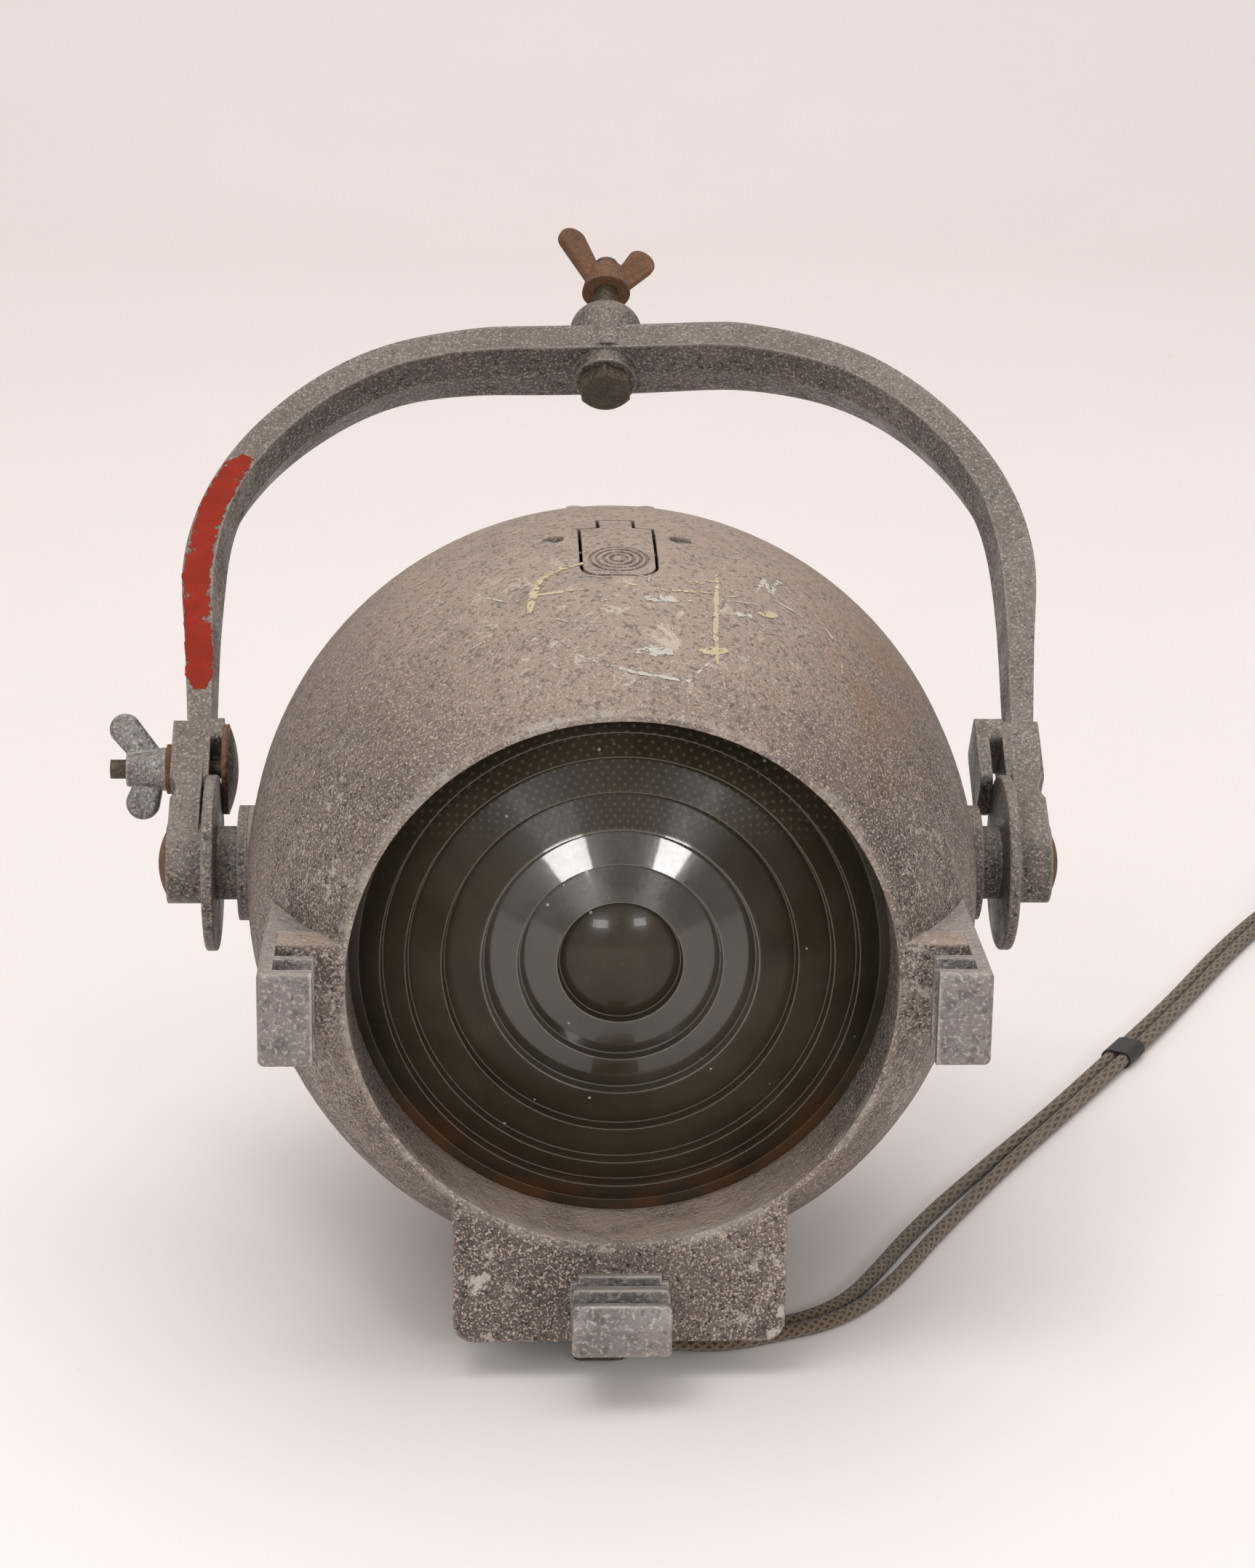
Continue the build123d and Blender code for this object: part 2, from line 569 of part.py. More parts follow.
def carriage():
    """The lamp carriage, bored for its two rails and drilled for the focus stud."""
    plate = block(-36, 36, -62, -2, 20.5, 27.5)
    plate = fillet(plate.edges().filter_by(Axis.Z), 4)
    plate += along_z(23, 27, 30, 0, LAMP_Y)
    plate -= both(along_y(RAIL_R + 0.08, -80, 20, RAIL_X, RAIL_Z))
    return plate - along_z(3.0, 15, 25, 0, STUD_Y)


def focus_knob():
    """A knurled disc on the stud, in the space between the skids."""
    knob = along_z(12, 2.5, 9.5, 0, STUD_Y)
    knob = chamfer(knob.edges().filter_by(GeomType.CIRCLE), 0.6)
    for step in range(24):
        angle = 2 * pi * step / 24
        knob -= along_z(1.0, 0, 12, 12.3 * cos(angle), STUD_Y + 12.3 * sin(angle))
    return knob - along_z(3.06, 0, 12, 0, STUD_Y)


def focus_stud():
    """The stud fixed in the carriage, with a collar under it."""
    return along_z(3.0, 1.2, 25, 0, STUD_Y) + along_z(3.4, 14.8, 20.5, 0, STUD_Y)


def lamp_holder():
    """A ceramic lampholder with a round socket."""
    body = along_z(20, 30, 46, 0, LAMP_Y)
    body = fillet(body.faces().sort_by(Axis.Z)[-1].edges(), 1.5)
    body -= along_z(14.1, 34, 50, 0, LAMP_Y)
    return body - both(along_z(1.9, 28, 50, 17, LAMP_Y))


def holder_screws():
    """Two screws that hold the lampholder to the carriage."""
    return both(along_z(1.9, 30, 46.2, 17, LAMP_Y) + along_z(2.4, 46.2, 47.6, 17, LAMP_Y))


def lamp_envelope():
    """The thin glass bulb, round-topped, with its neck in the cap."""
    outer = Polyline((0, 58), (12.6, 58), (12.6, 62), (19, 70), (19, 126))
    inner = Polyline((0, 58.9), (11.8, 58.9), (11.8, 62.4), (18.2, 70.4), (18.2, 126))
    top = CenterArc((0, 126), 19, 0, 90)
    hollow = CenterArc((0, 126), 18.2, 0, 90)
    walls = [*outer.edges(), *inner.edges(), top, hollow, Line((0, 145), (0, 144.2)), Line((0, 58), (0, 58.9))]
    return Pos(0, LAMP_Y, 0) * revolve(Plane.XZ * make_face(walls), Axis.Z)


def lamp_cap():
    """The brass cap that plugs into the lampholder, with its flange."""
    return along_z(13.9, 34.2, 58, 0, LAMP_Y) + along_z(14.4, 46.4, 48.2, 0, LAMP_Y)


def filament():
    """Two support wires and a zigzag filament centred on the optical axis."""
    wires = both(along_z(0.6, 58.9, AXIS_Z + 6, 7.5, LAMP_Y))
    bars = along_x(0.5, -7.5, 7.5, LAMP_Y, AXIS_Z + 5.5) + along_x(0.5, -7.5, 7.5, LAMP_Y, AXIS_Z - 5.5)
    for x in (-5, -2.5, 0, 2.5, 5):
        bars += along_z(0.9, AXIS_Z - 5.5, AXIS_Z + 5.5, x, LAMP_Y)
    return wires + bars


def reflector():
    """A spun spherical mirror centred on the filament."""
    ball = Pos(0, LAMP_Y, AXIS_Z) * (Sphere(47) - Sphere(46))
    mirror_cap = ball & block(-60, 60, 0, 60, 50, 180)
    return mirror_cap - along_y(1.8, 0, 20, 0, AXIS_Z)


def reflector_bracket():
    """A bent strip from the carriage to the back of the mirror."""
    strip = block(-8, 8, -8.6, 16.6, 27.5, 29.1) + block(-8, 8, 15.05, 16.6, 27.5, 121)
    return strip - along_y(1.8, 0, 20, 0, AXIS_Z)


def reflector_rivet():
    """The rivet at the mirror's middle."""
    rivet = along_y(1.8, 13.2, 17.0, 0, AXIS_Z) + along_y(3.2, 16.6, 17.6, 0, AXIS_Z)
    return rivet + along_y(3.2, 12.6, 13.6, 0, AXIS_Z)


def terminal_block():
    """A ceramic two-way connector in the foot pan, with grooves beside each screw."""
    body = block(-16, 16, 4, 22, 2.55, 12.5)
    body -= block(-1.2, 1.2, 0, 30, 8, 13) + both(block(14, 17, 0, 30, 8, 13))
    return body - both(along_z(2.2, 8, 13, 7.5, 8.5) + along_z(2.2, 8, 13, 7.5, 17.5))


def terminal_screws():
    """Four brass terminal screws."""
    return both(along_z(2.2, 8, 13.4, 7.5, 8.5) + along_z(2.2, 8, 13.4, 7.5, 17.5))


# ---- cable tails and plug ----
def cable_clamp():
    """The clamp under the front of the base that both tails come out of."""
    clamp = block(-12, 2, -98, -84, 1.0, BOX_Z)
    clamp = fillet(clamp.edges().filter_by(Axis.Z), 2)
    return clamp - along_z(1.6, 0, 12, -8.8, -91) - along_z(1.6, 0, 12, -2.2, -91)


def clamp_screws():
    """Two screws up through the clamp."""
    return along_z(1.6, 1.0, BOX_Z, -8.8, -91) + along_z(1.6, 1.0, BOX_Z, -2.2, -91)


# Each tail's route along the floor, from the clamp to the coil.
TAIL_FRONT = [
    (2, -93.4, 4.4), (13.0, -93.4, 4.4), (30.5, -91.0, 2.2), (46.6, -83.8, 2.2), (61.8, -76.8, 2.2),
    (74.8, -62.6, 2.2), (86.6, -42.4, 2.2), (96.0, -22.4, 2.2), (109.6, 3.6, 2.2), (129.2, 39.8, 2.2),
    (152.1, 78.8, 2.2), (174.0, 116.3, 3.0), (195.0, 152.9, 3.0), (215.0, 191.0, 2.2),
    (235.6, 231.6, 2.2), (254.0, 264.9, 2.2), (269.6, 290.2, 2.2), (282.0, 310.9, 2.2),
]
TAIL_BACK = [
    (2, -88.6, 4.4), (12.0, -88.6, 4.4), (28.6, -86.2, 2.2), (43.9, -79.4, 2.2), (58.0, -72.4, 2.2),
    (69.6, -59.4, 2.2), (80.2, -38.6, 2.2), (89.2, -19.4, 2.2), (103.2, 6.9, 2.2), (124.6, 42.9, 2.2),
    (148.0, 81.2, 2.2), (170.0, 118.6, 3.0), (190.8, 155.1, 3.0), (210.9, 193.0, 2.2),
    (231.4, 233.7, 2.2), (249.9, 267.1, 2.2), (265.7, 292.6, 2.2), (278.1, 313.2, 2.2),
]


def tail(points):
    """A round cord along straight runs joined by the largest arcs that the runs allow."""
    nodes = [Vector(*point) for point in points]
    radii = []
    edges = []
    start = nodes[0]
    for before, corner, after in zip(nodes, nodes[1:], nodes[2:]):
        into = corner - before
        out = after - corner
        reach = 0.45 * min(into.length, out.length)
        entry = corner - into.normalized() * reach
        leave = corner + out.normalized() * reach
        half_turn = radians(into.get_angle(out)) / 2
        radii.append(reach / tan(half_turn))
        bisector = (out.normalized() - into.normalized()).normalized()
        middle = corner + bisector * radii[-1] * (1 / cos(half_turn) - 1)
        edges += [Edge.make_line(start, entry), Edge.make_three_point_arc(entry, middle, leave)]
        start = leave
    path = Wire([*edges, Edge.make_line(start, nodes[-1])])
    solid = sweep(Plane(origin=path @ 0, z_dir=path % 0) * Circle(TAIL_R), path)
    section = pi * TAIL_R**2
    print("cord", round(path.length, 1), "mm, smallest radius", round(min(radii), 1),
          "volume over section times length", round(solid.volume / (section * path.length), 4))
    return solid


def plug_frame(distance):
    """A frame on the plug's axis, this far beyond the point where the tails leave the coil."""
    x = COIL_CENTRE[0] - 25 * PLUG_HEADING[1] + PLUG_HEADING[0] * distance
    y = COIL_CENTRE[1] + 25 * PLUG_HEADING[0] + PLUG_HEADING[1] * distance
    return Plane(origin=(x, y, 16.0), x_dir=(0, 0, 1), z_dir=(*PLUG_HEADING, 0))


def plug_body():
    """A round two-pin plug body lying on its side."""
    body = plug_frame(24) * Cylinder(5, 8, align=BASE)
    round_part = fillet(Cylinder(16, 24, align=BASE).faces().sort_by(Axis.Z)[0].edges(), 5)
    body += plug_frame(31) * round_part
    return body - plug_frame(34) * Cylinder(1.6, 30, align=BASE)


def plug_pins():
    """Two round pins, side by side."""
    return [plug_frame(55) * Pos(0, side * 6.4, 0) * Cylinder(2.4, 16, align=BASE) for side in (-1, 1)]


def plug_screw():
    """The screw that holds the plug's cover."""
    return plug_frame(34) * Cylinder(1.6, 20.6, align=BASE)


def tail_ends():
    """The last of both tails, from the top of the coil to the plug."""
    ends = []
    for side in (-1, 1):
        start = plug_frame(2).from_local_coords((-16 + COIL_TOP - TAIL_R, side * 2.3, 0))
        middle = plug_frame(13).from_local_coords((-16 + COIL_TOP + 1.2, side * 2.5, 0))
        end = plug_frame(24).from_local_coords((-0.4, side * 2.4, 0))
        ends.append(tail([start, middle, end]))
    return ends


def sleeve():
    """The dark sleeve that ties the two tails together."""
    frame = Plane(origin=(181.8, 134.6, 3.0), x_dir=(0, 0, 1), z_dir=(0.496, 0.868, 0))
    outer = Pos(0, 0, -7) * extrude(SlotOverall(10.7, 5.8, rotation=90), 14)
    inner = Pos(0, 0, -8) * extrude(SlotOverall(9.5, 4.6, rotation=90), 16)
    return frame * (outer - inner)


def tail_coil():
    """The outer shape of the put-away coil of both tails."""
    ring = along_z(COIL_OUT, 0, COIL_TOP, *COIL_CENTRE)
    return ring - along_z(COIL_IN, -1, COIL_TOP + 1, *COIL_CENTRE)


# ---- write every node ----
save("front_casting", front_casting())
save("rear_cover", rear_cover())
save("louvre_baffle", baffle())
save("baffle_rivets", *baffle_rivets())
save("cover_catch", cover_catch())
save("catch_rivets", catch_rivets())
save("hinge_pin", hinge_pin())

save("latch_tongue", latch_tongue())
save("latch_bridge", latch_bridge())
save("latch_pin", along_x(1.5, -8.6, 8.6, LATCH_Y, LATCH_Z))
save("latch_rivets", latch_rivets())
save("latch_spring", latch_spring())

save("lens", lens())
save("lens_gasket", lens_gasket())
save("lens_spring", lens_spring())
save("lower_runner", lower_runner())
save("lower_runner_screws", lower_runner_screws())

for name, maker in (("trunnion", trunnion), ("tilt_disc", tilt_disc), ("pivot_rivet", pivot_rivet)):
    piece = maker()
    save(f"{name}_right", piece)
    save(f"{name}_left", mirror(piece, Plane.YZ))
runner = side_runner()
save("side_runner_right", runner)
save("side_runner_left", mirror(runner, Plane.YZ))
save("trunnion_nuts", both(trunnion_nut()))

save("yoke", YOKE_PLANE * yoke())
save("lock_bolt", YOKE_PLANE * lock_bolt())
grip = along_x(13.6, -115.4, -113.9, LOCK_R, 0) - along_x(2.9, -120, -100, LOCK_R, 0)
save("lock_grip_washer", YOKE_PLANE * grip)
washer = along_x(7.5, -132.4, -BLOCK_OUT, LOCK_R, 0) - along_x(2.9, -140, -120, LOCK_R, 0)
save("lock_washer", YOKE_PLANE * washer)
lock_nut = wing_nut(6.6, 5.2, 12.0, [(12.0, 12.5, 4.65), (10.1, 7.2, 5.05)], 5.0, 2.95)
save("lock_wing_nut", YOKE_PLANE * Pos(-132.5, LOCK_R, 0) * Rot(0, -90, 0) * Rot(0, 0, 52) * lock_nut)
save("hanging_bolt", YOKE_PLANE * hanging_bolt())
hanging_nut = wing_nut(8.1, 6.4, 9.3, [(12.7, 19.4, 4.9), (12.7, 19.4, 4.9)], 3.6, 4.0)
save("hanging_wing_nut", YOKE_PLANE * HANGER * Pos(0, NUT_R, 0) * Rot(-90, 0, 0) * Rot(0, 0, 23) * hanging_nut)

save("base_plate", base_plate())
save("base_screws", base_screws())
save("guide_rails", both(along_y(RAIL_R, FRONT_Y + WALL, BOX_REAR - WALL, RAIL_X, RAIL_Z)))
save("carriage", carriage())
save("focus_stud", focus_stud())
save("focus_knob", focus_knob())
save("lamp_holder", lamp_holder())
save("holder_screws", holder_screws())
save("lamp_envelope", lamp_envelope())
save("lamp_cap", lamp_cap())
save("filament", filament())
save("reflector", reflector())
save("reflector_bracket", reflector_bracket())
save("reflector_rivet", reflector_rivet())
save("terminal_block", terminal_block())
save("terminal_screws", terminal_screws())

save("cable_clamp", cable_clamp())
save("clamp_screws", clamp_screws())
save("tail_front", tail(TAIL_FRONT))
save("tail_back", tail(TAIL_BACK))
save("tail_ends", *tail_ends())
save("tail_sleeve", sleeve())
save("tail_coil", tail_coil())
save("plug_body", plug_body())
save("plug_pins", *plug_pins())
save("plug_screw", plug_screw())
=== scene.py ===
import json
from math import cos, radians, sin

import bmesh
import bpy
from mathutils import Euler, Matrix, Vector


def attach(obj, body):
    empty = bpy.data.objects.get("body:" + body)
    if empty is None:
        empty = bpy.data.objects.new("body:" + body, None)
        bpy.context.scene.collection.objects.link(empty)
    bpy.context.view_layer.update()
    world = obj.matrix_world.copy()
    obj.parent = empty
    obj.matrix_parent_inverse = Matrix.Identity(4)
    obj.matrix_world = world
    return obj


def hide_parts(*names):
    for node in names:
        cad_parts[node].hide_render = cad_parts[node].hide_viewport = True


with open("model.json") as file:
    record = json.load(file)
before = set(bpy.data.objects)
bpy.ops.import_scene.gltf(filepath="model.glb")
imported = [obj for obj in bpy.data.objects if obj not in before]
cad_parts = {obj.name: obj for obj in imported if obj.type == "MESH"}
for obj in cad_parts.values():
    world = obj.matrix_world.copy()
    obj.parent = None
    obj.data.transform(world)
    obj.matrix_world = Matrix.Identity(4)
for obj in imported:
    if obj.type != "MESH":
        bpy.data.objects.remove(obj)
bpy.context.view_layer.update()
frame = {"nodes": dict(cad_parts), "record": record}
NODES = frame["nodes"]

# ---- camera ----
camera_data = bpy.data.cameras.new("camera")
camera_data.lens = 82.524
camera_data.sensor_width = 36.0
camera_data.clip_start = 0.05
camera_data.clip_end = 30.0
camera = bpy.data.objects.new("camera", camera_data)
camera.location = (-0.03652, -1.01321, 0.44522)
camera.rotation_euler = Euler((radians(73.239), radians(-0.670), radians(-2.141)), "XYZ")
bpy.context.collection.objects.link(camera)
bpy.context.scene.camera = camera


# ---- tails ----
TAIL_FRONT = [
    (2, -93.4, 4.4), (13.0, -93.4, 4.4), (30.5, -91.0, 2.2), (46.6, -83.8, 2.2), (61.8, -76.8, 2.2),
    (74.8, -62.6, 2.2), (86.6, -42.4, 2.2), (96.0, -22.4, 2.2), (109.6, 3.6, 2.2), (129.2, 39.8, 2.2),
    (152.1, 78.8, 2.2), (174.0, 116.3, 3.0), (195.0, 152.9, 3.0), (215.0, 191.0, 2.2),
    (235.6, 231.6, 2.2), (254.0, 264.9, 2.2), (269.6, 290.2, 2.2), (282.0, 310.9, 2.2),
]
TAIL_BACK = [
    (2, -88.6, 4.4), (12.0, -88.6, 4.4), (28.6, -86.2, 2.2), (43.9, -79.4, 2.2), (58.0, -72.4, 2.2),
    (69.6, -59.4, 2.2), (80.2, -38.6, 2.2), (89.2, -19.4, 2.2), (103.2, 6.9, 2.2), (124.6, 42.9, 2.2),
    (148.0, 81.2, 2.2), (170.0, 118.6, 3.0), (190.8, 155.1, 3.0), (210.9, 193.0, 2.2),
    (231.4, 233.7, 2.2), (249.9, 267.1, 2.2), (265.7, 292.6, 2.2), (278.1, 313.2, 2.2),
]
TAIL_LIFT = 2.2
TAIL_APART = 2.35
COIL = (301.8, 299.7)
COIL_FROM = 150.5
COIL_TO = -30.7 - 720
COIL_STEPS = 56
COIL_RISE = 4.5
PLUG_BACK = 25
PLUG_RUN = ((12, 14.4), (24, 15.6))
PLUG_HEADING = (cos(radians(-120.7)), sin(radians(-120.7)))
TAIL_D = 0.0044


def tail_route(points, radius, side):
    """The route on the floor, the coil's turns and the short run to the plug, in metres."""
    route = list(points)
    for step in range(1, COIL_STEPS + 1):
        degrees = COIL_FROM + (COIL_TO - COIL_FROM) * step / COIL_STEPS
        angle = radians(degrees)
        rise = TAIL_LIFT + COIL_RISE * (COIL_FROM - degrees) / 360
        route.append((COIL[0] + radius * cos(angle), COIL[1] + radius * sin(angle), rise))
    base_x = COIL[0] - PLUG_BACK * PLUG_HEADING[1]
    base_y = COIL[1] + PLUG_BACK * PLUG_HEADING[0]
    for along, height in PLUG_RUN:
        x = base_x + PLUG_HEADING[0] * along - side * TAIL_APART * PLUG_HEADING[1]
        y = base_y + PLUG_HEADING[1] * along + side * TAIL_APART * PLUG_HEADING[0]
        route.append((x, y, height))
    return [tuple(value / 1000 for value in point) for point in route]


def cord_curve(name, route, diameter):
    """A round curve of one open spline."""
    data = bpy.data.curves.new(name, "CURVE")
    data.dimensions = "3D"
    spline = data.splines.new("NURBS")
    spline.points.add(len(route) - 1)
    for point, place in zip(spline.points, route):
        point.co = (*place, 1.0)
    spline.order_u = 3
    spline.use_endpoint_u = True
    spline.resolution_u = 6
    data.bevel_depth = diameter / 2
    data.bevel_resolution = 4
    data.use_fill_caps = True
    obj = bpy.data.objects.new(name, data)
    bpy.context.collection.objects.link(obj)
    return obj


# ---- shader helpers ----
LENS_Z = 0.1151
BEVEL_SAMPLES = 4
EDGE_RADIUS = 0.0009


def add(tree, kind, settings=None, **inputs):
    """A node with its settings and inputs; an input is a socket to link or a value."""
    node = tree.nodes.new("ShaderNode" + kind)
    for key, value in (settings or {}).items():
        setattr(node, key, value)
    for key, value in inputs.items():
        socket = node.inputs[int(key[1:]) if key[0] == "i" and key[1:].isdigit() else key.replace("_", " ")]
        if isinstance(value, bpy.types.NodeSocket):
            tree.links.new(value, socket)
        else:
            socket.default_value = value
    return node


def mix(tree, factor, a, b):
    """A colour mix of two colours or sockets."""
    a = a if isinstance(a, bpy.types.NodeSocket) else (*a, 1)
    b = b if isinstance(b, bpy.types.NodeSocket) else (*b, 1)
    return add(tree, "Mix", {"data_type": "RGBA"}, i0=factor, i6=a, i7=b).outputs[2]


def calc(tree, operation, a, b=0.0):
    """One step of arithmetic."""
    return add(tree, "Math", {"operation": operation}, i0=a, i1=b).outputs[0]


def times(tree, a, b):
    """The product of two values."""
    return calc(tree, "MULTIPLY", a, b)


def plus(tree, a, b):
    """The sum of two values."""
    return calc(tree, "ADD", a, b)


def step_map(tree, value, low, high, out_low=0.0, out_high=1.0):
    """Maps a value from low..high, softly, to out_low..out_high."""
    node = add(tree, "MapRange", {"interpolation_type": "SMOOTHSTEP"}, Value=value, From_Min=low,
               From_Max=high, To_Min=out_low, To_Max=out_high)
    return node.outputs["Result"]


def noise(tree, place, scale, detail=4.0, rough=0.55, distort=0.0):
    """A cloudy value, mostly between 0.3 and 0.7."""
    node = add(tree, "TexNoise", None, Vector=place, Scale=scale, Detail=detail, Roughness=rough,
               Distortion=distort)
    return node.outputs[0]


def new_material(name, roughness=0.5, metallic=0.0):
    """A material with its Principled shader and object coordinates."""
    material = bpy.data.materials.new(name)
    material.use_nodes = True
    tree = material.node_tree
    tree.nodes.clear()
    out = tree.nodes.new("ShaderNodeOutputMaterial")
    shader = add(tree, "BsdfPrincipled", None, Roughness=roughness, Metallic=metallic)
    tree.links.new(shader.outputs["BSDF"], out.inputs["Surface"])
    place = add(tree, "TexCoord").outputs["Object"]
    return material, tree, shader, place


def bumps(tree, shader, height, distance, strength=1.0, radius=0.0):
    """Bump from a height, over an edge-softened normal where a radius is given."""
    extra = {}
    if radius:
        extra["Normal"] = add(tree, "Bevel", {"samples": BEVEL_SAMPLES}, Radius=radius).outputs[0]
    node = add(tree, "Bump", None, Height=height, Distance=distance, Strength=strength, **extra)
    tree.links.new(node.outputs[0], shader.inputs["Normal"])


def axes(tree, place):
    """The three components of a vector."""
    node = add(tree, "SeparateXYZ", None, Vector=place)
    return node.outputs[0], node.outputs[1], node.outputs[2]


def off_axis(tree, x, z):
    """The distance from the lens's axis."""
    rise = calc(tree, "SUBTRACT", z, LENS_Z)
    return calc(tree, "SQRT", plus(tree, times(tree, x, x), calc(tree, "POWER", rise, 2.0)))


def edge_mask(tree, radius, low, high):
    """High where the surface turns over an outer edge."""
    plain = add(tree, "NewGeometry").outputs["Normal"]
    soft = add(tree, "Bevel", {"samples": BEVEL_SAMPLES}, Radius=radius).outputs[0]
    dot = add(tree, "VectorMath", {"operation": "DOT_PRODUCT"}, i0=plain, i1=soft).outputs["Value"]
    return step_map(tree, dot, high, low)


def cast_metal(name, dark, light, dusty, pits=0.5, specks=0.35, dust=0.6, wear=0.5, roughness=0.55,
               metallic=0.25, grain=1.0, extra=None):
    """Rough cast metal: mottling, dark pits, light specks, dust on upward faces, rubbed edges."""
    material, tree, shader, place = new_material(name, roughness, metallic)
    large = noise(tree, place, 16, 5, 0.6, 0.4)
    middle = noise(tree, place, 95 * grain, 6, 0.65)
    fine = noise(tree, place, 620 * grain, 3, 0.6)
    finer = noise(tree, place, 1500 * grain, 2, 0.5)
    cells = add(tree, "TexVoronoi", None, Vector=place, Scale=430 * grain, Randomness=1.0).outputs["Distance"]
    color = mix(tree, step_map(tree, large, 0.34, 0.66), dark, light)
    color = mix(tree, step_map(tree, middle, 0.35, 0.7, 0.0, 0.55), color, [0.72 * v for v in dark])
    color = mix(tree, step_map(tree, fine, 0.47, 0.34, 0.0, pits), color, [0.22 * v for v in dark])
    color = mix(tree, step_map(tree, finer, 0.52, 0.66, 0.0, specks), color, [min(1, 2.6 * v) for v in light])
    up = add(tree, "SeparateXYZ", None, Vector=add(tree, "NewGeometry").outputs["Normal"]).outputs[2]
    settle = times(tree, step_map(tree, up, 0.45, 1.0, 0.0, dust),
                   step_map(tree, middle, 0.3, 0.62, 0.5, 1.0))
    color = mix(tree, settle, color, dusty)
    if extra:
        color = extra(tree, place, color, middle, fine)
    edges = times(tree, edge_mask(tree, 0.0016, 0.90, 0.99), step_map(tree, middle, 0.35, 0.6))
    color = mix(tree, times(tree, edges, wear), color, [min(1, 2.1 * v) for v in light])
    tree.links.new(color, shader.inputs["Base Color"])
    gloss = step_map(tree, middle, 0.3, 0.7, roughness - 0.12, roughness + 0.14)
    tree.links.new(gloss, shader.inputs["Roughness"])
    height = plus(tree, times(tree, fine, 0.9), times(tree, step_map(tree, cells, 0.0, 0.3), 0.35))
    height = plus(tree, height, times(tree, middle, 1.3))
    bumps(tree, shader, height, 0.0009, 0.9, EDGE_RADIUS)
    return material


def paint(node_names, material):
    """Gives the CAD nodes this material."""
    for name in node_names:
        mesh = NODES[name].data
        mesh.materials.clear()
        mesh.materials.append(material)


def worn(name, color, roughness=0.5, metallic=0.0, scale=260, spread=0.25, depth=0.0002):
    """A plain stock material with slight mottling and grain."""
    material, tree, shader, place = new_material(name, roughness, metallic)
    grain = noise(tree, place, scale, 5, 0.6)
    tone = step_map(tree, grain, 0.3, 0.7)
    shade = mix(tree, tone, [v * (1 - spread) for v in color], [min(1, v * (1 + spread)) for v in color])
    tree.links.new(shade, shader.inputs["Base Color"])
    gloss = step_map(tree, grain, 0.3, 0.7, roughness - 0.08, roughness + 0.1)
    tree.links.new(gloss, shader.inputs["Roughness"])
    bumps(tree, shader, grain, depth, 0.6, 0.0004)
    return material


# ---- materials ----
def body_marks(tree, place, color, middle, fine):
    """Rust tint high on the right, chalky flecks low on the box and rubbed patches round the runners."""
    x, y, z = axes(tree, place)
    patches = noise(tree, place, 42, 6, 0.7, 0.6)
    warm = times(tree, step_map(tree, x, 0.035, 0.085), step_map(tree, z, 0.15, 0.19))
    warm = times(tree, warm, step_map(tree, patches, 0.44, 0.64, 0.05, 0.42))
    color = mix(tree, warm, color, (0.27, 0.145, 0.07))
    across = off_axis(tree, x, z)
    rim = times(tree, step_map(tree, across, 0.0785, 0.0755), step_map(tree, y, -0.102, -0.106))
    rim = times(tree, rim, step_map(tree, patches, 0.44, 0.60, 0.05, 0.5))
    color = mix(tree, rim, color, (0.46, 0.42, 0.37))
    pit = times(tree, step_map(tree, z, 0.15, 0.19), step_map(tree, fine, 0.46, 0.36, 0.0, 0.7))
    color = mix(tree, pit, color, (0.12, 0.095, 0.078))
    front = step_map(tree, y, -0.097, -0.104)
    aside = calc(tree, "ABSOLUTE", x)
    corner = times(tree, step_map(tree, aside, 0.024, 0.040), step_map(tree, z, 0.046, 0.030))
    spots = step_map(tree, noise(tree, place, 150, 6, 0.75), 0.53, 0.60)
    flecks = times(tree, times(tree, front, corner), spots)
    color = mix(tree, times(tree, flecks, 0.75), color, (0.55, 0.50, 0.45))
    side = times(tree, step_map(tree, aside, 0.066, 0.080), step_map(tree, y, -0.060, -0.085))
    rubbed = times(tree, side, step_map(tree, noise(tree, place, 210, 5, 0.75, 1.2), 0.54, 0.62))
    color = mix(tree, times(tree, rubbed, 0.6), color, (0.50, 0.46, 0.41))
    top = times(tree, step_map(tree, z, 0.185, 0.205), step_map(tree, y, -0.02, -0.07))
    chalk = times(tree, top, step_map(tree, noise(tree, place, 120, 6, 0.8, 0.8), 0.55, 0.62))
    return mix(tree, times(tree, chalk, 0.5), color, (0.62, 0.56, 0.47))


body = cast_metal(
    "cast_body", (0.100, 0.079, 0.066), (0.168, 0.134, 0.113), (0.40, 0.315, 0.255), extra=body_marks,
    pits=1.0, specks=1.0, dust=0.8, wear=1.0, roughness=0.58, metallic=0.15)
gear = cast_metal(
    "cast_gear", (0.092, 0.075, 0.064), (0.162, 0.136, 0.118), (0.32, 0.27, 0.22),
    pits=0.8, specks=0.6, dust=0.35, wear=0.9, roughness=0.5, metallic=0.3, grain=0.8)
runner_metal = cast_metal(
    "cast_runner", (0.165, 0.145, 0.134), (0.27, 0.24, 0.222), (0.38, 0.33, 0.29),
    pits=0.45, specks=0.3, dust=0.6, wear=1.0, roughness=0.46, metallic=0.4, grain=0.55)
alloy = cast_metal(
    "cast_wing_nut", (0.15, 0.135, 0.125), (0.27, 0.245, 0.228), (0.34, 0.30, 0.26),
    pits=0.5, specks=0.3, dust=0.4, wear=0.7, roughness=0.42, metallic=0.55, grain=0.8)
rust = cast_metal(
    "rusty_steel", (0.105, 0.048, 0.022), (0.185, 0.088, 0.040), (0.22, 0.125, 0.07),
    pits=0.55, specks=0.15, dust=0.3, wear=0.2, roughness=0.8, metallic=0.1, grain=1.1)
